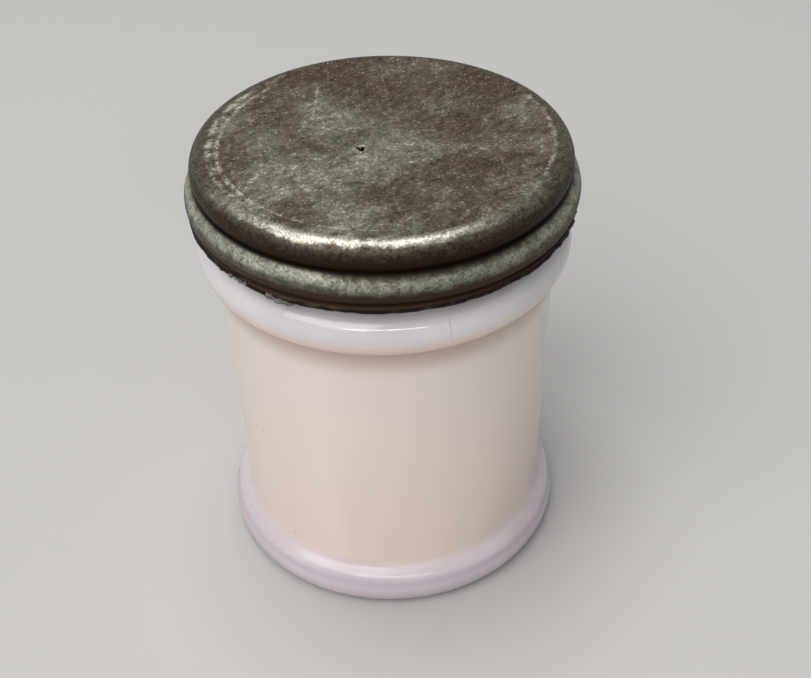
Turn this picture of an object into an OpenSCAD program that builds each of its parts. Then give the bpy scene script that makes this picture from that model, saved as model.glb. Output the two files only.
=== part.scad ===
// Screw-capped ointment pot: a pressed opal glass pot with a soft metal lid and a cork liner.
// Millimetres, +Z up along the pot's axis, origin at the middle of the face that it stands on.

/* [Pot] */
// Height of the pot from the table to its mouth
pot_h = 63; // [56:0.5:80]
// Body diameter just above the foot
body_d_low = 46.9; // [46:0.1:48]
// Body diameter just below the collar
body_d_high = 48.6; // [47.6:0.1:49.6]

/* [Foot] */
// How far the foot ring stands out from the foot of the body wall
foot_reach = 2.55; // [2:0.05:3]
// Rounding under the foot, where it leaves the table
heel_round = 2.6; // [1.5:0.1:3.2]
// Upright band of the foot between its two roundings
foot_land = 0.2; // [0.1:0.1:1.5]
// Rounding over the top of the foot
crown_round = 3.8; // [3.2:0.1:5]
// Hollow between the foot and the body
foot_fillet = 1.6; // [0.8:0.1:2.5]
// Width of the flat ring that the pot stands on
stand_w = 4.4; // [2:0.1:8]
// Depth of the dished hollow inside that ring
base_hollow = 0.9; // [0.4:0.1:1.5]

/* [Collar] */
// Largest diameter of the collar
collar_d = 53.3; // [52:0.1:56]
// Rounding of the collar's half-round edge
collar_round = 3.4; // [2.8:0.1:4]
// Hollow between the collar and the body
collar_fillet = 1.2; // [0.6:0.1:2]

/* [Neck and bore] */
// Diameter of the neck between the threads
neck_d = 47.2; // [46:0.1:48.4]
// Thickness of the glass at the mouth
neck_wall = 3.2; // [2.6:0.1:4]
// Rounding of the mouth's inner and outer edges
mouth_round = 1.1; // [0.5:0.1:1.2]
// Thickness of the glass wall just above the floor
wall_t = 3.8; // [3:0.1:5]
// Thickness of the glass floor
floor_t = 5; // [3:0.1:9]
// Rounding between the floor and the bore
floor_fillet = 5; // [2:0.5:8]

/* [Thread] */
// Rise of the thread in one turn
thread_pitch = 3; // [2.7:0.1:3.2]
// Height of the glass thread above the neck
thread_depth = 1.4; // [1.1:0.1:1.6]
// Width of either thread at its crest
crest_w = 0.5; // [0.3:0.1:0.6]
// Spread of each thread flank from its crest to its root
flank_w = 0.5; // [0.3:0.05:0.55]
// Turns of thread on the glass
glass_turns = 1.4; // [1:0.1:1.5]
// Turns of thread in the lid
lid_turns = 0.95; // [0.6:0.05:1.05]

/* [Lid] */
// Metal between the thread's hollow and the outside of the bead
bead_wall = 2.1; // [1.9:0.1:2.6]
// Rounding of the bead
bead_round = 2.6; // [2.4:0.1:2.8]
// Metal between the thread's hollow and the outside of the top's rim
rim_wall = 1; // [0.7:0.1:1.6]
// Rounding of the top's rim
rim_round = 2.35; // [2:0.05:2.6]
// Height from the middle of the bead to the middle of the rim
ring_pitch = 4; // [3.6:0.1:4.3]
// Metal between the thread's hollow and the edge of the flared lip
lip_wall = 1.85; // [1.5:0.05:2.1]
// Rounding of the lip's edge
lip_round = 0.45; // [0.3:0.05:0.6]
// Height from the lid's lower edge to the middle of the bead
lip_drop = 3.2; // [3:0.1:3.4]
// Thickness of the metal across the top
panel_t = 1.1; // [0.7:0.1:1.6]
// How far the mouth reaches into the liner's seat
seat_depth = 1.1; // [0.8:0.1:1.4]

/* [Liner] */
// Thickness of the cork wad
wad_t = 2.1; // [1.5:0.1:3]
// Thickness of the waxed paper facing
facing_t = 0.3; // [0.2:0.05:0.5]

/* [Clearances] */
// Gap between a thread's crest and the wall that it faces
crest_gap = 0.4; // [0.3:0.05:0.5]
// Gap between the working flanks of the two threads
flank_gap = 0.25; // [0.2:0.05:0.35]
// Gap round the liner and round the mouth inside the lid
seat_gap = 0.5; // [0.3:0.05:0.8]
// Gap between the lid's lower edge and the top of the collar
lid_gap = 1.85; // [1:0.05:3]

/* [Hidden] */
$fn = 120;
// How far a cut runs past the face that it leaves
over = 1;
// How far a hollow's circle reaches into the wall and the ring that it blends, so that it crosses both
bite = 0.002;
// Facets in one turn of thread, and the angle over which each thread end fades into its wall
thread_steps = 36;
thread_fade = 40;
// How far a thread's root is sunk into its wall
thread_sink = 0.4;

// Foot, from the table up
foot_r = body_d_low / 2 + foot_reach;
heel_c = [foot_r - heel_round, heel_round];
crown_c = [foot_r - crown_round, heel_round + foot_land];
crown_top = crown_c.y + crown_round;
hollow_r = heel_c.x - stand_w;
dish_r = (hollow_r * hollow_r + base_hollow * base_hollow) / (2 * base_hollow);

// Lid, from the mouth up and then down its skirt
neck_r = neck_d / 2;
chamber_r = neck_r + thread_depth + crest_gap;
seat_r = neck_r + seat_gap;
panel_under = pot_h + facing_t + wad_t;
lid_top = panel_under + panel_t;
rim_c = [chamber_r + rim_wall - rim_round, lid_top - rim_round];
bead_c = [chamber_r + bead_wall - bead_round, rim_c.y - ring_pitch];
lid_low = bead_c.y - lip_drop;
lip_c = [chamber_r + lip_wall - lip_round, lid_low + lip_round];
shoulder_z = pot_h - seat_depth;

// Collar, set under the lid's lower edge
collar_c = [collar_d / 2 - collar_round, lid_low - lid_gap - collar_round];

// Body wall, a straight line with a slight draft between the foot and the collar
body_low = [body_d_low / 2, crown_top];
body_high = [body_d_high / 2, collar_c.y - collar_round];
body_up = (body_high - body_low) / norm(body_high - body_low);
body_out = [body_up.y, -body_up.x];

// Bore
bore_top_r = neck_r - neck_wall;
bore_low_r = body_r(floor_t + floor_fillet) - wall_t;
floor_c = [bore_low_r - floor_fillet, floor_t + floor_fillet];

// Threads: both climb to the right, the lid's one flank below the glass one
root_half = crest_w / 2 + flank_w;
glass_top = shoulder_z - crest_gap - root_half;
glass_low = glass_top - glass_turns * thread_pitch;
lid_thread_low = lid_low + root_half;
lid_crest_r = neck_r + crest_gap;
mesh_depth = thread_depth - crest_gap;
flank_step = crest_w + flank_w * mesh_depth / thread_depth + flank_gap;
lid_lead = 360 * (lid_thread_low + flank_step - glass_low) / thread_pitch;

// Radius of the body wall at height z
function body_r(z) = body_low.x + (z - body_low.y) * body_up.x / body_up.y;

// Middle of a hollow of radius f that blends the body wall and a ring of radius r about c,
// above the ring where side is 1 and below it where side is -1
function hollow_c(c, r, f, side) =
    let (start = body_low + (f - bite) * body_out)
    let (v = start - c)
    let (along = v * body_up)
    let (reach = r + f - bite)
    start + body_up * (side * sqrt(along * along - v * v + reach * reach) - along);

// Share of a thread's full height at step i of n: 0 at both ends and 1 past the fade
function fade(i, n) = min(1, min(i, n - i) * 360 / thread_steps / thread_fade);

// One section of a thread at step i: two root points sunk in the wall and two crest points
function thread_section(i, n, root_r, crest_r, low, lead) =
    let (way = sign(crest_r - root_r))
    let (depth = abs(crest_r - root_r))
    let (height = -thread_sink / 2 + (depth + thread_sink / 2) * fade(i, n))
    let (root_w = root_half + flank_w * thread_sink / depth)
    let (top_w = root_half - flank_w * height / depth)
    let (a = lead + i * 360 / thread_steps)
    let (z = low + i * thread_pitch / thread_steps)
    [for (p = [[-thread_sink, -root_w], [height, -top_w], [height, top_w], [-thread_sink, root_w]])
        let (r = root_r + way * p.x) [r * cos(a), r * sin(a), z + p.y]];

// A ring of radius r in the profile, with its middle at c
module ring(c, r) {
    translate(c) circle(r);
}

// Glass between a ring about c and the body wall, cut to a hollow of radius f
module hollow(c, r, f, side) {
    m = hollow_c(c, r, f, side);
    difference() {
        polygon([c, m, m - (f + over) * body_out]);
        ring(m, f);
    }
}

// A single-start right-hand thread that stands from root_r to crest_r
module thread(root_r, crest_r, low, lead, turns) {
    n = round(turns * thread_steps);
    outward = crest_r > root_r;
    points = [for (i = [0:n]) each thread_section(i, n, root_r, crest_r, low, lead)];
    sides = [for (i = [0:n - 1], k = [0:3])
        let (a = 4 * i + k, b = 4 * i + (k + 1) % 4)
        each [[a, b, b + 4], [a, b + 4, a + 4]]];
    ends = [[0, 2, 1], [0, 3, 2], [4 * n, 4 * n + 1, 4 * n + 2], [4 * n, 4 * n + 2, 4 * n + 3]];
    faces = concat(sides, ends);
    polyhedron(points, outward ? faces : [for (f = faces) [f[0], f[2], f[1]]], convexity = 6);
}

module foot_profile() {
    polygon([[0, 0], [heel_c.x, 0], [foot_r, heel_c.y], [foot_r, crown_c.y], [crown_c.x, crown_top], [0, crown_top]]);
    ring(heel_c, heel_round);
    intersection() {
        ring(crown_c, crown_round);
        translate([0, crown_c.y]) square([foot_r + over, crown_round + over]);
    }
    hollow(crown_c, crown_round, foot_fillet, 1);
}

module body_profile() {
    polygon([[0, crown_c.y], [body_r(crown_c.y), crown_c.y], [body_r(collar_c.y), collar_c.y], [0, collar_c.y]]);
    ring(collar_c, collar_round);
    hollow(collar_c, collar_round, collar_fillet, -1);
}

module neck_profile() {
    translate([0, collar_c.y]) square([neck_r, pot_h - mouth_round - collar_c.y]);
    translate([0, collar_c.y]) square([neck_r - mouth_round, pot_h - collar_c.y]);
    ring([neck_r - mouth_round, pot_h - mouth_round], mouth_round);
}

module bore_profile() {
    edge_z = pot_h - mouth_round;
    polygon([[0, floor_t], [floor_c.x, floor_t], [bore_low_r, floor_c.y], [bore_top_r, edge_z],
        [bore_top_r, pot_h + over], [0, pot_h + over]]);
    ring(floor_c, floor_fillet);
    difference() {
        translate([0, edge_z]) square([bore_top_r + mouth_round, mouth_round + over]);
        ring([bore_top_r + mouth_round, edge_z], mouth_round);
    }
}

module lid_profile() {
    difference() {
        union() {
            translate([0, bead_c.y]) square([rim_c.x, lid_top - bead_c.y]);
            ring(rim_c, rim_round);
            translate([0, lid_low]) square([bead_c.x, bead_c.y - lid_low]);
            ring(bead_c, bead_round);
            translate([0, lid_low]) square([lip_c.x, 2 * lip_round]);
            ring(lip_c, lip_round);
        }
        translate([0, lid_low - over]) square([chamber_r, shoulder_z - lid_low + over]);
        translate([0, lid_low]) square([seat_r, panel_under - lid_low]);
    }
}

module pot() {
    color("ghostwhite") {
        rotate_extrude() difference() {
            union() {
                foot_profile();
                body_profile();
                neck_profile();
            }
            bore_profile();
            ring([0, base_hollow - dish_r], dish_r, $fn = 1200);
        }
        thread(neck_r, neck_r + thread_depth, glass_low, 0, glass_turns);
    }
}

module lid_shell() {
    color("dimgray") {
        rotate_extrude() lid_profile();
        thread(chamber_r, lid_crest_r, lid_thread_low, lid_lead, lid_turns);
    }
}

module liner_wad() {
    color("peru") translate([0, 0, pot_h + facing_t]) cylinder(h = wad_t, r = neck_r);
}

module liner_facing() {
    color("wheat") translate([0, 0, pot_h]) cylinder(h = facing_t, r = neck_r);
}

pot();
lid_shell();
liner_wad();
liner_facing();
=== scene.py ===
import math

import bmesh
import bpy
from mathutils import Matrix, Vector, noise


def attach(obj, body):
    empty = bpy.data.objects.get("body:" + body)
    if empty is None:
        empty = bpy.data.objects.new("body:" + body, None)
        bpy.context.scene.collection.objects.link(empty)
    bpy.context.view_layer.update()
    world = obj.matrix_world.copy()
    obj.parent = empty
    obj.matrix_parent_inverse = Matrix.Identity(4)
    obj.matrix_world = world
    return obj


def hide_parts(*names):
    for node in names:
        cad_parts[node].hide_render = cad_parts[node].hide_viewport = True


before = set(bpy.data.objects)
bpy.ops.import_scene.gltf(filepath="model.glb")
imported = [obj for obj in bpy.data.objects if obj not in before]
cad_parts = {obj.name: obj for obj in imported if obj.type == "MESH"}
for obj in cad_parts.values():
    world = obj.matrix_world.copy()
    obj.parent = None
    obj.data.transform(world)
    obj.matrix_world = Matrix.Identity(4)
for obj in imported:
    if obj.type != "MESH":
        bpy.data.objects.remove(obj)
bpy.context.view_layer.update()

MM = 0.001

# Sizes in millimetres, the same as the solids; a point is (radius, height)
FOOT_R = 26.0
HEEL_R = 2.6
CROWN_R = 3.8
CROWN_Z = 2.8
FOOT_FILLET = 1.6
STAND_W = 4.4
BASE_HOLLOW = 0.9
BODY_LOW = (23.45, 6.6)
BODY_HIGH = (24.3, 48.3)
COLLAR_C = (23.25, 51.7)
COLLAR_R = 3.4
COLLAR_FILLET = 1.2
NECK_R = 23.6
POT_H = 63.0
MOUTH_R = 1.1
BORE_TOP_R = 20.4
BORE_LOW_R = 19.72
FLOOR_Z = 5.0
FLOOR_FILLET = 5.0
PITCH = 3.0
THREAD_DEPTH = 1.4
CREST_W = 0.5
FLANK_W = 0.5
GLASS_THREAD_LOW = 56.55
GLASS_TURNS = 1.4
LID_THREAD_LOW = 57.7
LID_TURNS = 0.95
LID_THREAD_DEPTH = 1.4
FLANK_STEP = 1.107
LID_TOP = 66.5
PANEL_UNDER = 65.4
RIM_C = (24.05, 64.15)
RIM_R = 2.35
BEAD_C = (24.9, 60.15)
BEAD_R = 2.6
LIP_C = (26.8, 57.4)
LIP_R = 0.45
LID_LOW = 56.95
CHAMBER_R = 25.4
SEAT_R = 24.1
SHOULDER_Z = 61.9
FACING_T = 0.3

# Degrees over which a thread fades out at each end
THREAD_FADE = 40.0

# Closer lines of points beside each mould seam: lines to each side, their step, and the degrees kept for them
SEAM_LINES = 5
SEAM_STEP = 0.2
SEAM_CLEAR = 1.5

# Degrees between two faces from which their edge is shaded sharp
SHARP_EDGE = 38.0


def arc(c, r, start, end, n):
    """n + 1 points on a circle about c, between two angles in degrees."""
    points = []
    for i in range(n + 1):
        t = math.radians(start + (end - start) * i / n)
        points.append((c[0] + r * math.cos(t), c[1] + r * math.sin(t)))
    return points


def line(p, q, n):
    """The n points after p on the straight way to q."""
    return [(p[0] + (q[0] - p[0]) * i / n, p[1] + (q[1] - p[1]) * i / n) for i in range(1, n + 1)]


def tagged(points, tag):
    return [(r, z, tag) for r, z in points]


def around(r, z, a):
    t = math.radians(a)
    return (r * math.cos(t), r * math.sin(t), z)


def smooth(t):
    t = min(1.0, max(0.0, t))
    return t * t * (3 - 2 * t)


def bell(off, half):
    """1 where off is 0, falling to 1/e at half on either side."""
    return math.exp(-(off / half) ** 2)


def turn_gap(a, b):
    """Signed difference between two angles in degrees, between -180 and 180."""
    return (a - b + 180.0) % 360.0 - 180.0


def near(a, middle, half):
    """1 at angle middle, fading to 0 at half degrees from it."""
    return smooth(1 - abs(turn_gap(a, middle)) / half)


def wave(x, y, z):
    return noise.noise(Vector((x, y, z)))


def round_wave(a, z, reach, rise, seed):
    """Smooth noise that closes on itself round the axis; a in degrees."""
    t = math.radians(a)
    return wave(math.cos(t) * reach + seed, math.sin(t) * reach, z * rise)


def round_waves(a, z, parts):
    """Sum of such waves; each part is (depth, reach, rise, seed)."""
    return sum(depth * round_wave(a, z, reach, rise, seed) for depth, reach, rise, seed in parts)


def thread_height(a, z, low, lead, turns, depth):
    """How far a single-start thread stands out of its wall at angle a and height z."""
    best = 0.0
    first = math.floor(-lead / 360.0) - 1
    for k in range(first, first + 5):
        along = a - lead + 360.0 * k
        if along < 0 or along > 360.0 * turns:
            continue
        off = abs(z - low - PITCH * along / 360.0)
        ends = min(along, 360.0 * turns - along) / THREAD_FADE
        height = depth * min(1.0, max(0.0, (CREST_W / 2 + FLANK_W - off) / FLANK_W))
        best = max(best, height * smooth(ends))
    return best


def turned_angles(count, seams=()):
    """Angles round the axis in degrees, closer together beside each seam."""
    out = [360.0 * i / count for i in range(count)]
    for s in seams:
        fine = [s + SEAM_STEP * i for i in range(-SEAM_LINES, SEAM_LINES + 1)]
        out = [a for a in out if abs(turn_gap(a, s)) > SEAM_CLEAR] + [a % 360.0 for a in fine]
    return sorted(out)


def finish_mesh(name, mesh, sharp=SHARP_EDGE):
    """Sets the normals outwards, shades smooth but for sharp corners, and links the object."""
    bm = bmesh.new()
    bm.from_mesh(mesh)
    bmesh.ops.recalc_face_normals(bm, faces=bm.faces)
    bm.to_mesh(mesh)
    bm.free()
    for p in mesh.polygons:
        p.use_smooth = True
    mesh.set_sharp_from_angle(angle=math.radians(sharp))
    obj = bpy.data.objects.new(name, mesh)
    bpy.context.scene.collection.objects.link(obj)
    return obj


def turned(name, profile, angles, place):
    """A closed turned skin: the profile runs from the axis to the axis, and place moves each point."""
    count = len(angles)
    verts = [place(profile[0], 0.0)]
    for point in profile[1:-1]:
        verts += [place(point, a) for a in angles]
    verts.append(place(profile[-1], 0.0))
    last = len(verts) - 1
    faces = []
    for j in range(count):
        k = (j + 1) % count
        faces.append((0, 1 + k, 1 + j))
    rings = len(profile) - 2
    for i in range(rings - 1):
        low = 1 + i * count
        high = low + count
        for j in range(count):
            k = (j + 1) % count
            faces.append((low + j, low + k, high + k, high + j))
    top = 1 + (rings - 1) * count
    for j in range(count):
        k = (j + 1) % count
        faces.append((top + j, top + k, last))
    mesh = bpy.data.meshes.new(name)
    mesh.from_pydata([tuple(c * MM for c in v) for v in verts], [], faces)
    return finish_mesh(name, mesh)


# Pot: foot, body, collar, threaded neck, mouth and bore in one skin
POT_ANGLES = 224
BASE_RINGS = 10
SEAMS = (287.5, 107.5)
SEAM_H = 0.03
SEAM_HALF = 0.12
SEAM_START_Z = 0.6
SEAM_RISE = 1.0
FOOT_LINE_Z = 4.25
FOOT_LINE_DEEP = 0.10
FOOT_LINE_HALF = 0.7
# Waves in the glass: depth, reach, rise and seed
GLASS_WAVES = ((0.07, 1.6, 0.06, 3.0), (0.008, 5.0, 0.15, 9.0))


def hollow_arc(c, r, f, side, n):
    """The hollow of radius f that touches the body wall and the ring about c, and its angle on that ring."""
    low = Vector(BODY_LOW)
    up = (Vector(BODY_HIGH) - low).normalized()
    out = Vector((up.y, -up.x))
    start = low + f * out
    v = start - Vector(c)
    along = v.dot(up)
    m = start + up * (side * math.sqrt(along ** 2 - v.dot(v) + (r + f) ** 2) - along)
    from_ring = Vector(c) - m
    ring_end = math.degrees(math.atan2(from_ring.y, from_ring.x)) % 360.0
    wall_end = math.degrees(math.atan2(-out.y, -out.x)) % 360.0
    on_ring = math.degrees(math.atan2(-from_ring.y, -from_ring.x))
    return arc(m, f, ring_end, wall_end, n), on_ring


def pot_profile():
    hollow_r = FOOT_R - HEEL_R - STAND_W
    crown_c = (FOOT_R - CROWN_R, CROWN_Z)
    foot_hollow, crown_end = hollow_arc(crown_c, CROWN_R, FOOT_FILLET, 1, 8)
    collar_hollow, collar_start = hollow_arc(COLLAR_C, COLLAR_R, COLLAR_FILLET, -1, 8)
    collar_hollow.reverse()
    collar_end = math.degrees(math.acos((NECK_R - COLLAR_C[0]) / COLLAR_R))
    edge_z = POT_H - MOUTH_R
    floor_c = (BORE_LOW_R - FLOOR_FILLET, FLOOR_Z + FLOOR_FILLET)
    out = tagged([(0, BASE_HOLLOW)], "base")
    for i in range(1, BASE_RINGS + 1):
        r = hollow_r * i / BASE_RINGS
        out.append((r, BASE_HOLLOW * (1 - (r / hollow_r) ** 2), "base"))
    out += tagged(line((hollow_r, 0), (FOOT_R - HEEL_R, 0), 4), "base")
    out += tagged(arc((FOOT_R - HEEL_R, HEEL_R), HEEL_R, -90, 0, 14)[1:], "foot")
    out += tagged(arc(crown_c, CROWN_R, 0, crown_end, 30), "foot")
    out += tagged(foot_hollow[1:], "foot")
    out += tagged(line(foot_hollow[-1], collar_hollow[0], 44), "body")
    out += tagged(collar_hollow[1:], "collar")
    out += tagged(arc(COLLAR_C, COLLAR_R, collar_start, collar_end, 36)[1:], "collar")
    out += tagged(line(out[-1][:2], (NECK_R, edge_z), 56), "neck")
    out += tagged(arc((NECK_R - MOUTH_R, edge_z), MOUTH_R, 0, 90, 8)[1:], "mouth")
    out += tagged(arc((BORE_TOP_R + MOUTH_R, edge_z), MOUTH_R, 90, 180, 8), "mouth")
    out += tagged(line((BORE_TOP_R, edge_z), (BORE_LOW_R, floor_c[1]), 24), "bore")
    out += tagged(arc(floor_c, FLOOR_FILLET, 0, -90, 12)[1:], "bore")
    out += tagged(line((floor_c[0], FLOOR_Z), (0, FLOOR_Z), 8), "bore")
    return out


def pot_place(point, a):
    r, z, tag = point
    if tag == "neck":
        r += thread_height(a, z, GLASS_THREAD_LOW, 0.0, GLASS_TURNS, THREAD_DEPTH)
    if tag in ("foot", "body", "collar"):
        r += round_waves(a, z, GLASS_WAVES)
    if tag == "foot":
        r -= FOOT_LINE_DEEP * bell(z - FOOT_LINE_Z, FOOT_LINE_HALF)
    if tag in ("foot", "collar"):
        z_part = smooth((z - SEAM_START_Z) / SEAM_RISE)
        for s in SEAMS:
            off = math.radians(turn_gap(a, s)) * r
            r += z_part * SEAM_H * bell(off, SEAM_HALF)
    return around(r, z, a)


pot = turned("opal_pot", pot_profile(), turned_angles(POT_ANGLES, SEAMS), pot_place)

# Lid: flat top, rounded rim, sharp groove, bead and thin ragged lip, threaded inside
LID_ANGLES = 360
LID_LEAD = 360.0 * (LID_THREAD_LOW + FLANK_STEP - GLASS_THREAD_LOW) / PITCH
# Rings of points across the top: first radius, step and count, close at the pinhole and the scribed line
PANEL_RINGS = (
    (0.5, 0.5, 2), (1.4, 0.6, 1), (2.0, 0.07, 48), (5.6, 0.5, 32), (21.7, 0.1, 12), (22.95, 0.25, 5))
# The top lies a little low, waves by depth, scale and seed, and rises to the rim
PANEL_SINK = 0.12
PANEL_WAVES = ((0.06, 0.09, 1.7), (0.014, 0.5, 4.1))
PANEL_EDGE_R = 22.4
PANEL_EDGE_W = 1.6
PANEL_EDGE_RISE = 0.08
# Pinhole: pits by their offset from its middle, half width and depth, with a low burr round them
PINHOLE = (-2.8, -2.4)
PITS = ((-0.28, 0.32, 0.31, 0.7), (0.24, 0.36, 0.31, 0.7), (0.14, -0.26, 0.34, 0.7))
BURR_R = 0.8
BURR_HALF = 0.2
BURR_H = 0.05
BURR_SHIFT = 0.1
# Scribed line, deepest at one angle
SCRIBE_R = 22.2
SCRIBE_HALF = 0.14
SCRIBE_DEEP = 0.05
SCRIBE_AT = (215.0, 55.0)
# Rim and bead lie a little inside their sizes and wave by depth, reach, rise and seed
SIDE_SINK = 0.05
SIDE_WAVES = ((0.05, 3.0, 0.2, 13.0), (0.014, 30.0, 1.4, 2.0))
RIM_DIP = 0.02
RIM_DIP_W = 0.6
# The lip is eaten away most at these angles: middle, reach in degrees and strength
EATEN_SPOTS = ((338.0, 26.0, 1.0), (228.0, 24.0, 0.8), (70.0, 40.0, 0.7))
EATEN_LEAST = 0.25
EATEN_LEVEL = 0.36
EATEN_SPAN = 0.36
EATEN_IN = 0.6
EATEN_UP = 0.3
EATEN_DOWN = 0.06
# The lip's wear starts this far outside the chamber wall and grows over the width after it
LIP_WEAR_START = 0.2
LIP_WEAR_W = 1.2
LIP_ROUGH = 0.05
LIP_ROUGH_WAVE = (60.0, 2.0, 8.0)


def meet(c, r, z):
    """Angle in degrees at which the circle about c reaches height z, on its outer side."""
    return math.degrees(math.asin((z - c[1]) / r))


def groove_angles():
    """Angles on the rim and on the bead at which the two circles meet on the outside."""
    a = Vector(RIM_C)
    b = Vector(BEAD_C)
    d = (b - a).length
    along = (d * d + RIM_R ** 2 - BEAD_R ** 2) / (2 * d)
    across = math.sqrt(RIM_R ** 2 - along ** 2)
    u = (b - a) / d
    v = Vector((-u.y, u.x))
    p = a + u * along + v * across
    on_rim = math.degrees(math.atan2(p.y - a.y, p.x - a.x))
    on_bead = math.degrees(math.atan2(p.y - b.y, p.x - b.x))
    return on_rim, on_bead


def lid_profile():
    on_rim, on_bead = groove_angles()
    lip_top = LIP_C[1] + LIP_R
    bead_end = meet(BEAD_C, BEAD_R, lip_top)
    bead_end_r = BEAD_C[0] + BEAD_R * math.cos(math.radians(bead_end))
    out = [(0, LID_TOP, "panel")]
    for first, step, count in PANEL_RINGS:
        out += [(first + step * i, LID_TOP, "panel") for i in range(count)]
    out += tagged(arc(RIM_C, RIM_R, 90, on_rim, 36), "rim")
    out += tagged(arc(BEAD_C, BEAD_R, on_bead, bead_end, 40)[1:], "bead")
    out += tagged(line((bead_end_r, lip_top), (LIP_C[0], lip_top), 3), "lip")
    out += tagged(arc(LIP_C, LIP_R, 90, -90, 10)[1:], "lip")
    out += tagged(line((LIP_C[0], LID_LOW), (CHAMBER_R, LID_LOW), 4), "lip")
    out += tagged(line((CHAMBER_R, LID_LOW), (CHAMBER_R, SHOULDER_Z), 44), "chamber")
    out += tagged(line((CHAMBER_R, SHOULDER_Z), (SEAT_R, SHOULDER_Z), 3), "seat")
    out += tagged(line((SEAT_R, SHOULDER_Z), (SEAT_R, PANEL_UNDER), 6), "seat")
    out += tagged(line((SEAT_R, PANEL_UNDER), (0, PANEL_UNDER), 8), "seat")
    return out


def bite(a):
    """How far the lip is eaten away at angle a, 0 to 1."""
    rough = 0.5 + 0.5 * round_wave(a, 0.0, 8.0, 0.0, 21.0)
    fine = 0.5 + 0.5 * round_wave(a, 0.0, 24.0, 0.0, 5.0)
    worn = max([EATEN_LEAST] + [strong * near(a, middle, half) for middle, half, strong in EATEN_SPOTS])
    return worn * smooth((0.6 * rough + 0.4 * fine - EATEN_LEVEL) / EATEN_SPAN)


def panel_height(r, a):
    """How far the top stands off its flat height at radius r and angle a."""
    x, y, _ = around(r, 0, a)
    out = -PANEL_SINK
    for depth, scale, seed in PANEL_WAVES:
        out -= depth * wave(x * scale, y * scale, seed)
    for dx, dy, wide, deep in PITS:
        d = math.hypot(x - PINHOLE[0] - dx, y - PINHOLE[1] - dy)
        out -= deep * math.exp(-(d / wide) ** 4)
    ring = math.hypot(x - PINHOLE[0], y - PINHOLE[1] - BURR_SHIFT)
    out += BURR_H * bell(ring - BURR_R, BURR_HALF)
    out -= SCRIBE_DEEP * near(a, *SCRIBE_AT) * bell(r - SCRIBE_R, SCRIBE_HALF)
    return out + PANEL_EDGE_RISE * smooth((r - PANEL_EDGE_R) / PANEL_EDGE_W)


def lid_place(point, a):
    r, z, tag = point
    if tag == "panel":
        z += panel_height(r, a)
    if tag in ("rim", "bead"):
        r -= SIDE_SINK + round_waves(a, z, SIDE_WAVES)
    if tag == "rim":
        z -= RIM_DIP * smooth((RIM_C[0] + RIM_DIP_W - r) / RIM_DIP_W)
    if tag == "lip":
        edge = smooth((r - CHAMBER_R - LIP_WEAR_START) / LIP_WEAR_W)
        eaten = bite(a) * edge
        r -= EATEN_IN * eaten + LIP_ROUGH * edge * (1 + round_wave(a, z, *LIP_ROUGH_WAVE))
        z += eaten * (EATEN_UP if z < LIP_C[1] else -EATEN_DOWN)
    if tag == "chamber":
        r -= thread_height(a, z, LID_THREAD_LOW, LID_LEAD % 360.0, LID_TURNS, LID_THREAD_DEPTH)
    return around(r, z, a)


lid = turned("metal_lid", lid_profile(), turned_angles(LID_ANGLES), lid_place)

# Crust and crumbs on the lip; a lump is (angle, radius, height, half length, half width, seed)
LUMPS_LEFT = [
    (239.6, 26.7, 57.0, 1.05, 0.58, 1.0),
    (236.4, 26.7, 57.15, 1.0, 0.55, 4.0),
    (242.2, 26.75, 57.0, 0.7, 0.5, 7.0)]
LUMPS_RIGHT = [
    (341.0, 26.55, 57.4, 1.1, 0.65, 2.0),
    (335.5, 26.6, 57.3, 1.0, 0.55, 5.0),
    (346.5, 26.55, 57.4, 0.9, 0.55, 8.0)]
LUMP_PALE = (297.7, 26.95, 57.4, 0.22, 0.2, 3.0)
LUMP_DETAIL = 4
LUMP_SHARP = 60.0
KNOB_DEPTH = 0.28
KNOB_SCALE = 1.6
GRIT_DEPTH = 0.1
GRIT_SCALE = 5
CRUMB_SIZE = 0.28
CRUMB_SPREAD = 0.14
CRUMB_LONG = 1.5
# How far a crumb may stray: degrees along the lip, and inwards and upwards
CRUMB_STRAY = (1.2, 0.12, 0.25)


def crust(name, lumps):
    """Lumps of corrosion in one piece."""
    bm = bmesh.new()
    for a, r, z, long, wide, seed in lumps:
        made = bmesh.ops.create_icosphere(bm, subdivisions=LUMP_DETAIL, radius=1.0)["verts"]
        t = math.radians(a)
        out = Vector((math.cos(t), math.sin(t), 0))
        side = Vector((-out.y, out.x, 0))
        centre = Vector((r * out.x, r * out.y, z))
        for v in made:
            n = v.co.copy()
            knobs = wave(n.x * KNOB_SCALE + seed, n.y * KNOB_SCALE, n.z * KNOB_SCALE)
            grit = wave(n.x * GRIT_SCALE, n.y * GRIT_SCALE + seed, n.z * GRIT_SCALE)
            n *= 1 + KNOB_DEPTH * knobs + GRIT_DEPTH * grit
            v.co = (centre + side * n.x * long + out * n.y * wide + Vector((0, 0, n.z * wide))) * MM
    mesh = bpy.data.meshes.new(name)
    bm.to_mesh(mesh)
    bm.free()
    return finish_mesh(name, mesh, LUMP_SHARP)


def crumbs(start, end, count, r, z, seed):
    """A row of small lumps along the lip between two angles."""
    along, inward, upward = CRUMB_STRAY
    out = []
    for i in range(count):
        a = start + (end - start) * (i + 0.5) / count
        size = CRUMB_SIZE + CRUMB_SPREAD * wave(i * 1.7 + seed, seed, 0.3)
        stray = wave(i * 2.3, seed, 5.1)
        place = (a + along * stray, r - inward * abs(stray), z + upward * stray)
        out.append((*place, CRUMB_LONG * size, size, seed + i))
    return out


crust_left = crust("crust_left", LUMPS_LEFT + crumbs(214.0, 235.0, 10, 26.8, 57.25, 11.0))
crust_right = crust("crust_right", LUMPS_RIGHT + crumbs(320.0, 354.0, 10, 26.75, 57.35, 40.0))
crumb_pale = crust("crumb_pale", [LUMP_PALE])

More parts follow.
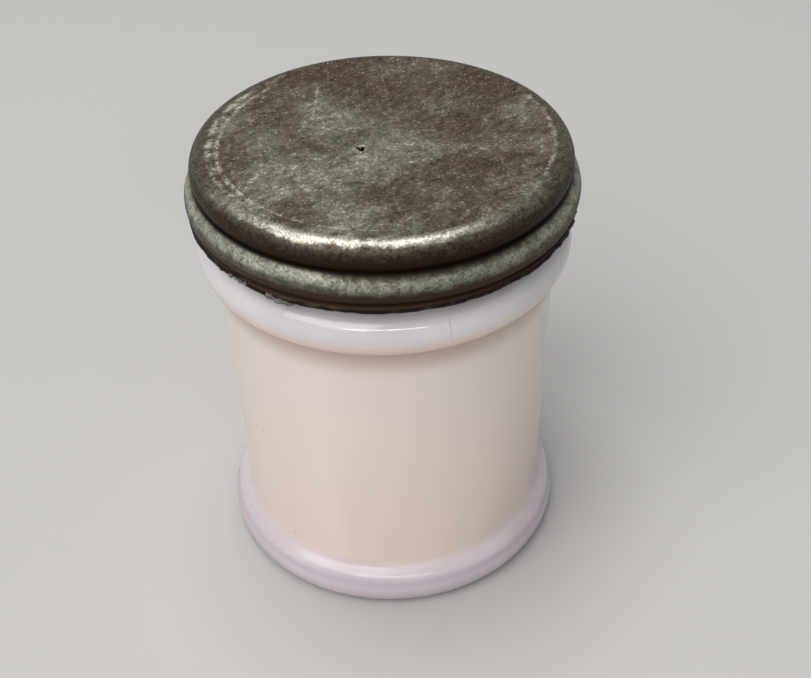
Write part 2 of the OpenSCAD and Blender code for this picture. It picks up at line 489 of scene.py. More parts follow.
# Liner: a cork wad and a paper facing, both with eased and slightly uneven edges
DISC_ANGLES = 160
DISC_RINGS = 24
EDGE_SINK = 0.1
WAD_EASE = 0.25
WAD_WAVES = ((0.12, 12.0, 1.0, 31.0),)
FACING_EASE = 0.1
FACING_WAVES = ((0.1, 6.0, 0.0, 17.0),)


def disc(name, low, high, r, ease, edge_waves):
    """A flat disc between two heights with an eased edge."""
    rings = [r * i / DISC_RINGS for i in range(1, DISC_RINGS)]
    out = [(0, low, "low")]
    out += [(x, low, "low") for x in rings]
    out += tagged(arc((r - ease, low + ease), ease, -90, 0, 4), "edge")
    out += tagged(arc((r - ease, high - ease), ease, 0, 90, 4), "edge")
    out += [(x, high, "high") for x in reversed(rings)]
    out.append((0, high, "high"))

    def place(point, a):
        point_r, z, tag = point
        if tag == "edge":
            point_r -= EDGE_SINK + round_waves(a, z, edge_waves)
        return around(point_r, z, a)

    return turned(name, out, turned_angles(DISC_ANGLES), place)


wad = disc("cork_wad", POT_H + FACING_T, PANEL_UNDER, NECK_R, WAD_EASE, WAD_WAVES)
facing = disc("paper_facing", POT_H, POT_H + FACING_T, NECK_R, FACING_EASE, FACING_WAVES)

for piece, body, node, slot in (
        (pot, "pot", "pot", "opal_glass"), (lid, "lid", "lid_shell", "tarnished_metal"),
        (wad, "liner", "liner_wad", "cork"), (facing, "liner", "liner_facing", "waxed_paper")):
    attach(piece, body)
    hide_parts(node)
for piece in (crust_left, crust_right, crumb_pale):
    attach(piece, "lid")


# Materials
class Shader:
    """A material's node tree with short calls for the nodes used here."""

    def __init__(self, name):
        self.mat = bpy.data.materials.new(name)
        self.mat.use_nodes = True
        self.tree = self.mat.node_tree
        self.bsdf = self.tree.nodes["Principled BSDF"]
        coords = self.tree.nodes.new("ShaderNodeTexCoord")
        self.place = coords.outputs["Object"]

    def put(self, socket, value):
        if isinstance(value, bpy.types.NodeSocket):
            self.tree.links.new(value, socket)
        else:
            socket.default_value = value

    def math(self, op, a, b=0.0, clamp=False):
        n = self.tree.nodes.new("ShaderNodeMath")
        n.operation = op
        n.use_clamp = clamp
        self.put(n.inputs[0], a)
        self.put(n.inputs[1], b)
        return n.outputs[0]

    def plus(self, a, b, clamp=False):
        return self.math("ADD", a, b, clamp)

    def minus(self, a, b):
        return self.math("SUBTRACT", a, b)

    def times(self, a, b, clamp=False):
        return self.math("MULTIPLY", a, b, clamp)

    def most(self, a, b):
        return self.math("MAXIMUM", a, b)

    def split(self):
        n = self.tree.nodes.new("ShaderNodeSeparateXYZ")
        self.put(n.inputs[0], self.place)
        return n.outputs[0], n.outputs[1], n.outputs[2]

    def stretched(self, turn, size):
        """Coordinates in which a pattern is drawn out by size along axes turned about Z by turn degrees."""
        n = self.tree.nodes.new("ShaderNodeMapping")
        n.vector_type = "TEXTURE"
        self.put(n.inputs["Vector"], self.place)
        n.inputs["Rotation"].default_value = (0, 0, math.radians(turn))
        n.inputs["Scale"].default_value = size
        return n.outputs[0]

    def noise(self, scale, detail=3.0, rough=0.55, where=None, warp=0.0):
        n = self.tree.nodes.new("ShaderNodeTexNoise")
        self.put(n.inputs["Vector"], where or self.place)
        n.inputs["Scale"].default_value = scale
        n.inputs["Detail"].default_value = detail
        n.inputs["Roughness"].default_value = rough
        n.inputs["Distortion"].default_value = warp
        return n.outputs["Fac"]

    def cells(self, scale, feature="F1", output="Distance"):
        n = self.tree.nodes.new("ShaderNodeTexVoronoi")
        n.feature = feature
        self.put(n.inputs["Vector"], self.place)
        n.inputs["Scale"].default_value = scale
        return n.outputs[output]

    def chips(self, scale):
        """A random value from 0 to 1 for each small cell."""
        n = self.tree.nodes.new("ShaderNodeSeparateColor")
        self.put(n.inputs[0], self.cells(scale, output="Color"))
        return n.outputs[0]

    def ramp(self, fac, low, high, start=0.0, end=1.0):
        """fac mapped smoothly from low..high to start..end."""
        n = self.tree.nodes.new("ShaderNodeMapRange")
        n.interpolation_type = "SMOOTHSTEP"
        self.put(n.inputs["Value"], fac)
        n.inputs["From Min"].default_value = low
        n.inputs["From Max"].default_value = high
        n.inputs["To Min"].default_value = start
        n.inputs["To Max"].default_value = end
        return n.outputs["Result"]

    def ramp_mm(self, fac, low, high, start=0.0, end=1.0):
        """The same for a length, with low and high in millimetres."""
        return self.ramp(fac, low * MM, high * MM, start, end)

    def band(self, fac, middle, half, soft):
        """1 where a length is within half of middle, fading to 0 over soft, all in millimetres."""
        off = self.math("ABSOLUTE", self.minus(fac, middle * MM))
        return self.ramp_mm(off, half, half + soft, 1.0, 0.0)

    def mix(self, fac, a, b):
        n = self.tree.nodes.new("ShaderNodeMix")
        n.data_type = "RGBA"
        self.put(n.inputs["Factor"], fac)
        self.put(n.inputs["A"], (*a, 1.0) if isinstance(a, tuple) else a)
        self.put(n.inputs["B"], (*b, 1.0) if isinstance(b, tuple) else b)
        return n.outputs["Result"]

    def length(self, x, y):
        return self.math("SQRT", self.plus(self.times(x, x), self.times(y, y)))

    def radius(self):
        """Distance from the axis."""
        x, y, _ = self.split()
        return self.length(x, y)

    def reach_xy(self, mx, my):
        """Distance across the axis from a point given in millimetres."""
        x, y, _ = self.split()
        return self.length(self.minus(x, mx * MM), self.minus(y, my * MM))

    def spot(self, middle, half, reach):
        """1 within half of a point and 0 beyond reach, all in millimetres."""
        n = self.tree.nodes.new("ShaderNodeVectorMath")
        n.operation = "DISTANCE"
        self.put(n.inputs[0], self.place)
        n.inputs[1].default_value = [c * MM for c in middle]
        return self.ramp_mm(n.outputs["Value"], half, reach, 1.0, 0.0)

    def bump(self, height, distance, under=None):
        """A bump as deep as distance in millimetres, laid over another one where under is given."""
        n = self.tree.nodes.new("ShaderNodeBump")
        self.put(n.inputs["Height"], height)
        n.inputs["Distance"].default_value = distance * MM
        if under is not None:
            self.put(n.inputs["Normal"], under)
        return n.outputs["Normal"]

    def finish(self, colour, rough, normal=None):
        self.put(self.bsdf.inputs["Base Color"], colour)
        self.put(self.bsdf.inputs["Roughness"], rough)
        if normal is not None:
            self.put(self.bsdf.inputs["Normal"], normal)
        return self.mat


# Glass colours; a pair is the two ends of a cloudy mix
BODY_TINTS = ((0.725, 0.605, 0.545), (0.770, 0.655, 0.595))
BODY_HIGH_TINT = (0.715, 0.655, 0.620)
FOOT_TINTS = ((0.505, 0.445, 0.490), (0.580, 0.520, 0.555))
# Painted shade in the groove round the foot
FOOT_GROOVE_SHADE_TINT = (0.470, 0.405, 0.475)
# Painted shade under the collar
UNDER_COLLAR_SHADE_TINT = (0.540, 0.430, 0.375)
# Painted warm glow on the collar's underside
COLLAR_UNDERSIDE_GLOW_TINT = (0.750, 0.590, 0.510)
COLLAR_TINTS = ((0.580, 0.558, 0.578), (0.640, 0.617, 0.632))
BORE_TINTS = ((0.660, 0.620, 0.610), (0.710, 0.670, 0.660))
SEAM_TINT = (0.30, 0.28, 0.29)
SPECK_TINT = (0.30, 0.27, 0.25)
FOOT_SPECK_TINT = (0.42, 0.42, 0.45)
SCUFF_TINT = (0.36, 0.33, 0.32)

# Heights and radii in millimetres between which one look of the glass gives way to the next
SCUFF_Z = (0.04, 0.25)
SCUFF_R = (18.7, 19.1)
BORE_Z = (2.0, 4.0)
BORE_R = (20.6, 21.6)
FOOT_TOP_Z = (5.6, 8.0)
FOOT_DULL_Z = (6.0, 8.5)
FOOT_RIPPLE_Z = (6.5, 8.5)
BODY_FADE_Z = (10.0, 44.0)
UNDER_COLLAR_SHADE_Z = (43.8, 47.6)
COLLAR_RIPPLE_Z = (47.5, 50.0)
COLLAR_UNDERSIDE_GLOW_Z = (48.8, 50.2)
COLLAR_Z = (50.0, 52.3)
SEAM_SEEN_Z = 52.8
SEAM_SEEN_R = (22.8, 23.4)
FOOT_SPECK = (-22.65, -9.15, 5.87)
GLASS_IOR = 1.52
GLOW_WEIGHT = 0.35
GLOW_REACH = (1.0, 0.95, 0.93)
GLOW_DEPTH = 2.5


def opal_glass():
    s = Shader("opal_glass")
    x, y, z = s.split()
    r = s.radius()
    cloud = s.ramp(s.noise(55.0, 3.0, 0.5, warp=0.6), 0.3, 0.7)
    swirl = s.noise(30.0, 2.0, 0.5, where=s.stretched(0, (1.0, 1.0, 2.8)), warp=1.5)
    # Warm body, cooler foot and collar, with painted shade in the hollow between the body and the collar and
    # a painted warm glow on the collar's underside
    body = s.mix(s.ramp(swirl, 0.3, 0.7), *BODY_TINTS)
    body = s.mix(s.ramp_mm(z, *BODY_FADE_Z, 0.0, 0.85), body, BODY_HIGH_TINT)
    foot = s.mix(cloud, *FOOT_TINTS)
    # Painted shade in the groove round the foot
    foot = s.mix(s.band(z, FOOT_LINE_Z, 0.1, 0.8), foot, FOOT_GROOVE_SHADE_TINT)
    # Painted shade under the collar
    colour = s.mix(s.ramp_mm(z, *UNDER_COLLAR_SHADE_Z), body, UNDER_COLLAR_SHADE_TINT)
    # Painted warm glow on the collar's underside
    colour = s.mix(s.ramp_mm(z, *COLLAR_UNDERSIDE_GLOW_Z), colour, COLLAR_UNDERSIDE_GLOW_TINT)
    colour = s.mix(s.ramp_mm(z, *COLLAR_Z), colour, s.mix(cloud, *COLLAR_TINTS))
    colour = s.mix(s.ramp_mm(z, *FOOT_TOP_Z, 1.0, 0.0), colour, foot)
    bore = s.times(s.ramp_mm(r, *BORE_R, 1.0, 0.0), s.ramp_mm(z, *BORE_Z))
    colour = s.mix(bore, colour, s.mix(cloud, *BORE_TINTS))
    # The two mould seams, opposite each other, show faintly on the collar
    turn = math.radians(SEAMS[0])
    off = s.minus(s.times(x, math.sin(turn)), s.times(y, math.cos(turn)))
    seam = s.times(s.band(off, 0.0, 0.05, 0.10), s.band(z, SEAM_SEEN_Z, 0.8, 1.0))
    seam = s.times(seam, s.ramp_mm(r, *SEAM_SEEN_R, 0.0, 0.3))
    colour = s.mix(seam, colour, SEAM_TINT)
    # A few dark specks, and a grey one on the foot
    specks = s.ramp(s.cells(170.0), 0.035, 0.055, 1.0, 0.0)
    specks = s.times(specks, s.ramp(s.noise(90.0, 1.0), 0.58, 0.62))
    colour = s.mix(s.times(specks, 0.5), colour, SPECK_TINT)
    colour = s.mix(s.spot(FOOT_SPECK, 0.22, 0.30), colour, FOOT_SPECK_TINT)
    rough = s.ramp(s.noise(160.0, 4.0, 0.6), 0.35, 0.75, 0.06, 0.13)
    rough = s.plus(rough, s.ramp_mm(z, *FOOT_DULL_Z, 0.12, 0.0))
    # Standing ring, scuffed grey
    ring = s.times(s.ramp_mm(z, *SCUFF_Z, 1.0, 0.0), s.ramp_mm(r, *SCUFF_R))
    scuffs = s.times(ring, s.ramp(s.noise(500.0, 5.0, 0.7), 0.35, 0.60, 0.35, 1.0))
    colour = s.mix(scuffs, colour, SCUFF_TINT)
    rough = s.plus(rough, s.times(scuffs, 0.3))
    # Faint rings all over, and ripples on the foot and the collar
    ripple = s.noise(620.0, 3.0, 0.55, where=s.stretched(0, (1.0, 1.0, 3.3)))
    rings = s.noise(900.0, 2.0, 0.5, where=s.stretched(0, (6.0, 6.0, 1.0)))
    ends = s.most(s.ramp_mm(z, *FOOT_RIPPLE_Z, 1.0, 0.0), s.ramp_mm(z, *COLLAR_RIPPLE_Z))
    normal = s.bump(s.times(ripple, ends), 0.05, under=s.bump(rings, 0.015))
    s.bsdf.inputs["IOR"].default_value = GLASS_IOR
    s.bsdf.inputs["Subsurface Weight"].default_value = GLOW_WEIGHT
    s.bsdf.inputs["Subsurface Radius"].default_value = GLOW_REACH
    s.bsdf.inputs["Subsurface Scale"].default_value = GLOW_DEPTH * MM
    return s.finish(colour, rough, normal)


# Metal colours; a pair is the dark and the light end of the grain
BROWN_TINTS = ((0.018, 0.013, 0.008), (0.146, 0.118, 0.083))
WARM_TINTS = ((0.016, 0.009, 0.006), (0.122, 0.078, 0.053))
SAGE_TINTS = ((0.080, 0.080, 0.058), (0.345, 0.350, 0.274))
FLECK_TINT = (0.54, 0.535, 0.45)
LINE_TINT = (0.44, 0.438, 0.360)
RIM_TINTS = ((0.016, 0.011, 0.007), (0.125, 0.108, 0.079))
# Painted dark reflection on the lower rim, and painted shade under it
RIM_DARK_REFLECTION_TINTS = ((0.007, 0.004, 0.002), (0.058, 0.045, 0.031))
RIM_UNDER_SHADE_TINT = (0.024, 0.012, 0.007)
# Worn metal with a painted highlight where it faces the front
WEAR_AND_HIGHLIGHT_TINTS = ((0.17, 0.165, 0.13), (0.58, 0.58, 0.49))
BEAD_TINTS = ((0.036, 0.035, 0.026), (0.140, 0.141, 0.110))
# Painted highlight along the bead, at the sides, the front and the left
BEAD_HIGHLIGHT_TINTS = ((0.066, 0.066, 0.050), (0.352, 0.360, 0.288))
BEAD_FRONT_HIGHLIGHT_TINTS = ((0.054, 0.054, 0.041), (0.308, 0.315, 0.250))
BEAD_LEFT_HIGHLIGHT_TINTS = ((0.092, 0.094, 0.072), (0.462, 0.475, 0.385))
BEAD_SHADE_TINT = (0.028, 0.022, 0.016)
# Painted shade under the bead
BEAD_UNDER_SHADE_TINT = (0.034, 0.017, 0.010)
# Painted shade in the groove
GROOVE_SHADE_TINT = (0.008, 0.005, 0.003)
# Painted shade on the lip
LIP_SHADE_TINTS = ((0.008, 0.004, 0.003), (0.036, 0.032, 0.024))
# Painted highlight along the lip's edge
LIP_EDGE_HIGHLIGHT_TINT = (0.060, 0.034, 0.024)
# Painted glints
GLINT_TINT = (0.70, 0.69, 0.61)
BURR_TINT = (0.36, 0.36, 0.30)
# Painted shade in the pinhole's pits
PINHOLE_SHADE_TINT = (0.003, 0.002, 0.001)

# Heights and radii in millimetres between which one look of the metal gives way to the next
LIP_EDGE_HIGHLIGHT_Z = 57.84
LIP_SHADE_Z = (58.0, 58.8)
BEAD_UNDER_SHADE_Z = (59.7, 60.5)
BARE_Z = (59.7, 60.6)
BEAD_HIGHLIGHT_Z = 61.27
BEAD_HIGHLIGHT_LIFT = 0.5
BEAD_SHADE_Z = (61.6, 62.4)
BEAD_TOP_Z = (62.5, 62.65)
GROOVE_Z = 62.59
RIM_UNDER_SHADE_Z = (64.0, 64.8)
RIM_DARK_REFLECTION_Z = (65.0, 65.9)
GLINT_Z = (65.4, 66.0)
PANEL_Z = (65.5, 65.7)
WEAR_AND_HIGHLIGHT_Z = (65.8, 66.2)
WEAR_AND_HIGHLIGHT_R = (23.6, 24.3)
RIM_START_R = (23.7, 24.4)
RING_IN_R = 22.35
RING_BETWEEN_R = 23.0
RING_OUT_R = 23.6
# Uneven edges between these looks
LEVEL_SWING = 0.2

# Thin pale haze on the lid's top: middle x and y in millimetres, reach and strength,
# below 0 where it is rubbed off
HAZE = (
    (1.5, -15.0, 6.5, -0.45), (12.8, -9.0, 9.0, -0.50), (-17.3, 10.4, 4.5, -0.30),
    (-16.2, 0.3, 5.5, 0.45), (-7.0, 4.8, 7.5, 0.65), (-14.8, -7.1, 6.0, 0.38), (-7.6, -11.8, 6.5, 0.45),
    (-1.2, -7.5, 6.0, 0.50), (-5.5, -18.5, 5.0, 0.45), (2.8, -1.8, 8.0, 0.70), (7.9, -2.8, 5.0, 0.40),
    (20.5, 4.5, 4.0, 0.50), (22.0, -3.0, 4.0, 0.40), (-9.2, 10.5, 4.5, 0.35))

# Faint scratch on the lid's top, an arc about a point far to its left, in millimetres
SCRATCH_MIDDLE = (-118.9, 18.0)
SCRATCH_R = 110.0
SCRATCH_Y = 10.0
METAL_SPECULAR = 0.12


def tarnished_metal():
    s = Shader("tarnished_metal")
    x, y, z = s.split()
    r = s.radius()
    grain = s.noise(2600.0, 4.0, 0.75)
    clump = s.noise(420.0, 6.0, 0.7)
    brushed = s.stretched(42, (1.7, 1.0, 1.0))
    chip = s.chips(3400.0)
    streak = s.noise(800.0, 5.0, 0.75, where=brushed)
    tone = s.plus(s.ramp(streak, 0.32, 0.68, 0.0, 0.5), s.times(chip, 0.5))
    cloud = s.noise(110.0, 7.0, 0.68, where=brushed, warp=0.3)
    # Top: brown grain under a thin sage haze with pale flecks, browner at the back and on the right
    at_right = s.ramp_mm(s.reach_xy(14.0, 0.0), 0.0, 20.0, 0.8, 0.0)
    warm = s.most(s.ramp_mm(y, 2.0, 17.0, 0.0, 0.9), at_right)
    haze = s.ramp(cloud, 0.43, 0.70, 0.0, 0.80)
    for hx, hy, reach, strong in HAZE:
        haze = s.plus(haze, s.ramp_mm(s.reach_xy(hx, hy), 0.0, reach, strong, 0.0))
    haze = s.times(haze, s.ramp(warm, 0.0, 1.0, 1.1, 0.5))
    haze = s.times(haze, s.ramp(clump, 0.32, 0.68, 0.65, 1.25), clamp=True)
    brown = s.mix(warm, s.mix(tone, *BROWN_TINTS), s.mix(tone, *WARM_TINTS))
    colour = s.mix(haze, brown, s.mix(tone, *SAGE_TINTS))
    flecks = s.times(s.ramp(chip, 0.86, 0.95), s.ramp(streak, 0.42, 0.58))
    colour = s.mix(s.times(flecks, s.ramp(haze, 0.0, 0.8, 0.18, 0.6)), colour, FLECK_TINT)
    # Pale broken rings near the edge of the top, on the left and the right
    left = s.ramp_mm(x, -12.0, -18.5)
    right = s.ramp_mm(x, 19.0, 22.5)
    lines = s.plus(s.band(r, RING_IN_R, 0.15, 0.3), s.band(r, RING_OUT_R, 0.2, 0.4))
    between = s.times(s.band(r, RING_BETWEEN_R, 0.4, 0.6), s.ramp(streak, 0.45, 0.60, 0.1, 0.7))
    lines = s.times(s.plus(lines, between), left)
    lines = s.plus(lines, s.times(s.band(r, RING_OUT_R, 0.1, 0.4), right))
    lines = s.times(lines, s.ramp(clump, 0.42, 0.58, 0.15, 0.7))
    # Scribed line at the front left, and the scratch
    scribe = s.times(s.band(r, SCRIBE_R, 0.06, 0.12), s.ramp_mm(y, -6.0, -10.0))
    scribe = s.times(scribe, s.ramp(clump, 0.42, 0.58, 0.3, 1.0))
    lines = s.plus(lines, s.times(scribe, s.ramp_mm(x, 2.0, -4.0)))
    scratch = s.band(s.reach_xy(*SCRATCH_MIDDLE), SCRATCH_R, 0.1, 0.25)
    scratch = s.times(scratch, s.band(y, SCRATCH_Y, 3.0, 4.0))
    lines = s.plus(lines, s.times(scratch, s.ramp(clump, 0.40, 0.60, 0.25, 0.75)))
    lines = s.times(lines, s.ramp(tone, 0.25, 0.75, 0.15, 1.0), clamp=True)
    colour = s.mix(lines, colour, LINE_TINT)
    # Rim: worn bright at the front with a painted highlight there, a painted dark reflection on its lower
    # part and painted shade under it
    level = s.plus(z, s.ramp(clump, 0.3, 0.7, -LEVEL_SWING * MM, LEVEL_SWING * MM))
    front = s.times(s.ramp_mm(y, -9.0, -19.0), s.ramp_mm(x, 15.5, 8.5, 0.15, 1.0))
    worn = s.times(s.ramp_mm(level, *WEAR_AND_HIGHLIGHT_Z), s.ramp_mm(r, *WEAR_AND_HIGHLIGHT_R))
    worn = s.times(worn, front)
    # Painted dark reflection on the lower rim, and painted shade under it
    rim = s.mix(s.ramp_mm(level, *RIM_DARK_REFLECTION_Z, 1.0, 0.0), s.mix(tone, *RIM_TINTS), s.mix(tone, *RIM_DARK_REFLECTION_TINTS))
    rim = s.mix(s.ramp_mm(level, *RIM_UNDER_SHADE_Z, 1.0, 0.0), rim, RIM_UNDER_SHADE_TINT)
    colour = s.mix(s.ramp_mm(r, *RIM_START_R), colour, rim)
    # Worn metal with a painted highlight at the front
    worn_silver_and_highlight = s.mix(tone, *WEAR_AND_HIGHLIGHT_TINTS)
    colour = s.mix(s.times(worn, s.ramp(clump, 0.35, 0.6, 0.6, 1.0)), colour, worn_silver_and_highlight)
    # Bead: a painted highlight band that lies higher towards the sides and is palest on the left, with
    # painted shade along its top and under it
    middle = s.times(s.ramp_mm(y, -16.0, -23.0), s.ramp_mm(x, -12.0, -3.0))
    lift = s.ramp(middle, 0.0, 1.0, BEAD_HIGHLIGHT_LIFT * MM, 0.0)
    bead_highlight = s.band(s.minus(level, lift), BEAD_HIGHLIGHT_Z, 0.2, 1.0)
    bead_highlight_colour = s.mix(middle, s.mix(tone, *BEAD_HIGHLIGHT_TINTS), s.mix(tone, *BEAD_FRONT_HIGHLIGHT_TINTS))
    bead_highlight_colour = s.mix(s.ramp_mm(x, -4.0, -14.0), bead_highlight_colour, s.mix(tone, *BEAD_LEFT_HIGHLIGHT_TINTS))
    bead = s.mix(bead_highlight, s.mix(tone, *BEAD_TINTS), bead_highlight_colour)
    shade = s.times(s.ramp_mm(level, *BEAD_SHADE_Z), s.ramp(middle, 0.0, 1.0, 0.35, 1.0))
    bead = s.mix(shade, bead, BEAD_SHADE_TINT)
    # Painted shade under the bead
    bead = s.mix(s.ramp_mm(level, *BEAD_UNDER_SHADE_Z, 1.0, 0.0), bead, BEAD_UNDER_SHADE_TINT)
    colour = s.mix(s.ramp_mm(z, *BEAD_TOP_Z, 1.0, 0.0), colour, bead)
    # Painted shade in the groove above the bead, and on the lip below it
    colour = s.mix(s.band(z, GROOVE_Z, 0.12, 0.3), colour, GROOVE_SHADE_TINT)
    # The lip painted dark as shade
    lip = s.mix(s.ramp(clump, 0.50, 0.64), *LIP_SHADE_TINTS)
    colour = s.mix(s.ramp_mm(z, *LIP_SHADE_Z, 1.0, 0.0), colour, lip)
    # Painted highlight along the lip's edge
    colour = s.mix(s.band(z, LIP_EDGE_HIGHLIGHT_Z, 0.03, 0.08), colour, LIP_EDGE_HIGHLIGHT_TINT)
    # Painted glints: small bright points on the top; and the pinhole with its burr, its pits painted dark as
    # shade
    glint = s.times(s.ramp(s.cells(1700.0), 0.12, 0.20, 1.0, 0.0), s.ramp(clump, 0.50, 0.56))
    glint = s.times(glint, s.ramp_mm(z, *GLINT_Z))
    colour = s.mix(s.times(glint, 0.55), colour, GLINT_TINT)
    # The pinhole's pits painted dark as shade
    pinhole_shade = 0.0
    for dx, dy, wide, _ in PITS:
        d = s.reach_xy(PINHOLE[0] + dx, PINHOLE[1] + dy)
        pinhole_shade = s.most(pinhole_shade, s.ramp_mm(d, wide * 0.9, wide * 1.2, 1.0, 0.0))
    burr = s.ramp_mm(s.reach_xy(*PINHOLE), 0.6, 1.2, 0.35, 0.0)
    on_top = s.ramp_mm(z, *PANEL_Z)
    colour = s.mix(s.times(burr, on_top), colour, BURR_TINT)
    pinhole_shade = s.times(pinhole_shade, on_top)
    colour = s.mix(pinhole_shade, colour, PINHOLE_SHADE_TINT)
    # Barest where it is worn, dullest on the lip
    metal = s.plus(s.ramp_mm(level, *BARE_Z, 0.15, 0.55), s.times(worn, 0.4))
    s.put(s.bsdf.inputs["Metallic"], s.plus(metal, pinhole_shade, clamp=True))
    s.bsdf.inputs["Specular IOR Level"].default_value = METAL_SPECULAR
    rough = s.plus(s.ramp(worn, 0.0, 1.0, 0.50, 0.32), s.ramp(grain, 0.3, 0.7, -0.12, 0.12))
    return s.finish(colour, rough, s.bump(clump, 0.10, under=s.bump(grain, 0.04)))


# Dark and light ends of the crusts' colours
CRUST_GREEN_TINTS = ((0.036, 0.037, 0.029), (0.155, 0.162, 0.130))
CRUST_DARK_TINTS = ((0.008, 0.005, 0.004), (0.055, 0.047, 0.038))
CRUMB_GREY_TINTS = ((0.16, 0.13, 0.12), (0.30, 0.27, 0.26))


def crust_metal(name, tints):
    s = Shader(name)
    tone = s.noise(1500.0, 4.0, 0.65)
    colour = s.mix(s.ramp(tone, 0.35, 0.65), *tints)
    return s.finish(colour, s.ramp(tone, 0.3, 0.7, 0.45, 0.75), s.bump(tone, 0.2))


# Cork grains, with darker patches and dark joints between the grains
CORK_TINTS = ((0.36, 0.20, 0.10), (0.60, 0.40, 0.22))
CORK_PATCH_TINT = (0.25, 0.14, 0.07)
CORK_JOINT_TINT = (0.14, 0.07, 0.035)
CORK_SCALE = 620.0
CORK_ROUGH = 0.85


def cork():
    s = Shader("cork")
    edge = s.cells(CORK_SCALE, feature="DISTANCE_TO_EDGE")
    tone = s.noise(260.0, 4.0, 0.6)
    colour = s.mix(s.chips(CORK_SCALE), *CORK_TINTS)
    colour = s.mix(s.ramp(tone, 0.45, 0.7, 0.0, 0.5), colour, CORK_PATCH_TINT)
    colour = s.mix(s.ramp(edge, 0.0, 0.05, 0.8, 0.0), colour, CORK_JOINT_TINT)
    return s.finish(colour, CORK_ROUGH, s.bump(s.plus(edge, tone), 0.4))


# Paper fibres, with stains and the ring that the mouth has pressed into it
PAPER_TINTS = ((0.68, 0.57, 0.36), (0.78, 0.69, 0.48))
PAPER_STAIN_TINT = (0.50, 0.36, 0.18)
PAPER_RING_TINT = (0.42, 0.31, 0.17)
PAPER_RING_R = 22.0


def waxed_paper():
    s = Shader("waxed_paper")
    fibre = s.noise(900.0, 5.0, 0.7, where=s.stretched(30, (1.0, 0.33, 1.0)))
    stain = s.noise(70.0, 5.0, 0.6, warp=0.8)
    colour = s.mix(s.ramp(fibre, 0.35, 0.65), *PAPER_TINTS)
    colour = s.mix(s.ramp(stain, 0.5, 0.72, 0.0, 0.6), colour, PAPER_STAIN_TINT)
    ring = s.band(s.radius(), PAPER_RING_R, 0.8, 0.5)
    colour = s.mix(s.times(ring, 0.5), colour, PAPER_RING_TINT)
    height = s.minus(fibre, s.times(ring, 2.0))
    return s.finish(colour, s.ramp(stain, 0.3, 0.7, 0.38, 0.5), s.bump(height, 0.08))


for piece, made in (
        (pot, opal_glass()), (lid, tarnished_metal()), (wad, cork()), (facing, waxed_paper()),
        (crust_left, crust_metal("crust_green", CRUST_GREEN_TINTS)),
        (crust_right, crust_metal("crust_dark", CRUST_DARK_TINTS)),
        (crumb_pale, crust_metal("crumb_grey", CRUMB_GREY_TINTS))):
    piece.data.materials.append(made)

# Floor, a plain pale sheet that fades into the backdrop far from the pot; sizes in metres
SKY_GREY = 0.29
BACKDROP_GREY = 0.56
SHEET_HALF = 0.8
SHEET_FADE = (0.22, 0.75)
SHEET_TINTS = ((0.430, 0.425, 0.420), (0.455, 0.450, 0.445))
SHEET_ROUGH = 0.75


def seen_rays(tree):
    """1 for the rays that show the background: from the camera, off a gloss or through glass."""
    ray = tree.nodes.new("ShaderNodeLightPath")
    seen = ray.outputs["Is Camera Ray"]
    for kind in ("Is Glossy Ray", "Is Transmission Ray"):
        either = tree.nodes.new("ShaderNodeMath")
        either.operation = "MAXIMUM"
        tree.links.new(seen, either.inputs[0])
        tree.links.new(ray.outputs[kind], either.inputs[1])
        seen = either.outputs[0]
    return seen


corners = [(x * SHEET_HALF, y * SHEET_HALF, 0) for x, y in ((-1, -1), (1, -1), (1, 1), (-1, 1))]
floor_mesh = bpy.data.meshes.new("floor")
floor_mesh.from_pydata(corners, [], [(0, 1, 2, 3)])
floor = bpy.data.objects.new("floor", floor_mesh)
bpy.context.scene.collection.objects.link(floor)
sheet = Shader("floor_paper")
floor_mesh.materials.append(sheet.finish(sheet.mix(sheet.noise(8.0), *SHEET_TINTS), SHEET_ROUGH))
glow = sheet.tree.nodes.new("ShaderNodeEmission")
glow.inputs["Strength"].default_value = BACKDROP_GREY
fade = sheet.tree.nodes.new("ShaderNodeMixShader")
far = sheet.ramp(sheet.radius(), *SHEET_FADE)
sheet.put(fade.inputs[0], sheet.times(far, seen_rays(sheet.tree)))
sheet.put(fade.inputs[1], sheet.bsdf.outputs[0])
sheet.put(fade.inputs[2], glow.outputs[0])
sheet.put(sheet.tree.nodes["Material Output"].inputs["Surface"], fade.outputs[0])

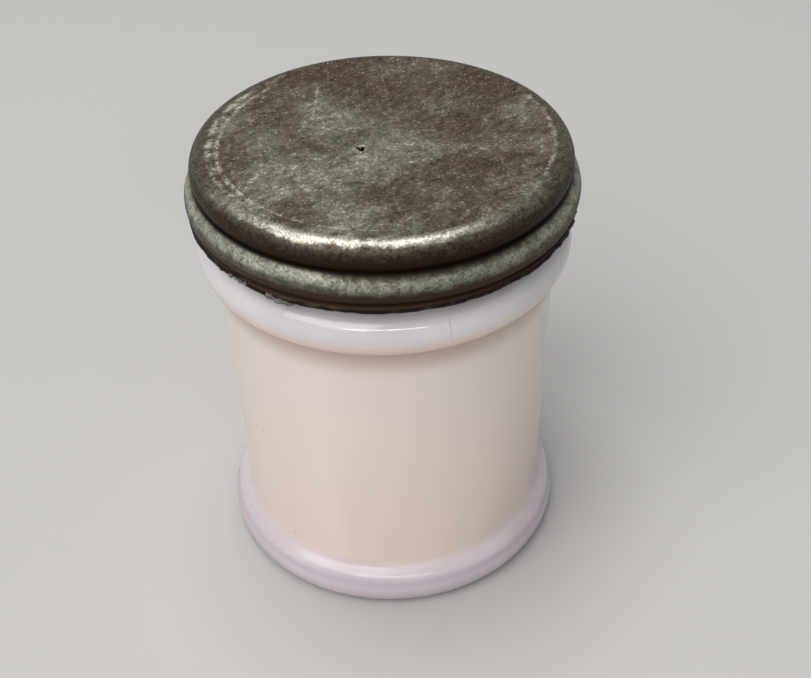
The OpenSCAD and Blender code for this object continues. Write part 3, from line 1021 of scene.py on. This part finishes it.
# Lamps, all aimed at one point: name, place and size in metres, watts and colour
AIM = (0, 0, 0.035)
LAMPS = (
    ("key", (-0.62, -0.72, 1.28), (1.3, 1.3), 19.5, (1.0, 0.98, 0.96)),
    ("top", (-0.10, 0.20, 1.10), (0.50, 0.42), 5.2, (1.0, 0.99, 0.97)),
    ("strip", (-0.02, -0.50, 0.38), (0.46, 0.035), 0.72, (1.0, 0.99, 0.98)))
for name, place, size, watts, tint in LAMPS:
    lamp = bpy.data.lights.new(name, "AREA")
    lamp.shape = "RECTANGLE"
    lamp.size = size[0]
    lamp.size_y = size[1]
    lamp.energy = watts
    lamp.color = tint
    lamp_object = bpy.data.objects.new(name, lamp)
    lamp_object.location = place
    way = Vector(AIM) - Vector(place)
    lamp_object.rotation_euler = way.to_track_quat("-Z", "Y").to_euler()
    bpy.context.scene.collection.objects.link(lamp_object)

# World: the sky's grey lights the pot, and the backdrop's grey is what is seen
world = bpy.data.worlds.new("studio")
world.use_nodes = True
strength = world.node_tree.nodes.new("ShaderNodeMapRange")
strength.inputs["To Min"].default_value = SKY_GREY
strength.inputs["To Max"].default_value = BACKDROP_GREY
background = world.node_tree.nodes["Background"]
background.inputs["Color"].default_value = (1.0, 1.0, 1.0, 1.0)
world.node_tree.links.new(seen_rays(world.node_tree), strength.inputs["Value"])
world.node_tree.links.new(strength.outputs["Result"], background.inputs["Strength"])
bpy.context.scene.world = world

# Camera, placed by the outline of the pot and the lid; millimetres, radians and pixels
CAMERA_BACK = 155.0829
CAMERA_UP = 155.8754
YAW = -0.0166
PITCH_DOWN = 0.6767
ROLL = -0.0275
FOCAL_PX = 1300.0
FRAME_W = 811.0
SENSOR_W = 36.0
CLIP_START = 10.0
across = Vector((math.cos(YAW), math.sin(YAW), 0))
ahead = Vector((-math.sin(YAW), math.cos(YAW), 0))
forward = ahead * math.cos(PITCH_DOWN) - Vector((0, 0, math.sin(PITCH_DOWN)))
above = ahead * math.sin(PITCH_DOWN) + Vector((0, 0, math.cos(PITCH_DOWN)))
right = across * math.cos(ROLL) + above * math.sin(ROLL)
upward = above * math.cos(ROLL) - across * math.sin(ROLL)
camera_data = bpy.data.cameras.new("camera")
camera_data.sensor_width = SENSOR_W
camera_data.lens = FOCAL_PX * SENSOR_W / FRAME_W
camera_data.clip_start = CLIP_START * MM
camera = bpy.data.objects.new("camera", camera_data)
turn = Matrix((right, upward, -forward)).transposed().to_4x4()
camera.matrix_world = Matrix.Translation(Vector((0, -CAMERA_BACK, CAMERA_UP)) * MM) @ turn
bpy.context.scene.collection.objects.link(camera)
bpy.context.scene.camera = camera
bpy.context.scene.view_settings.view_transform = "Standard"

bpy.context.view_layer.update()
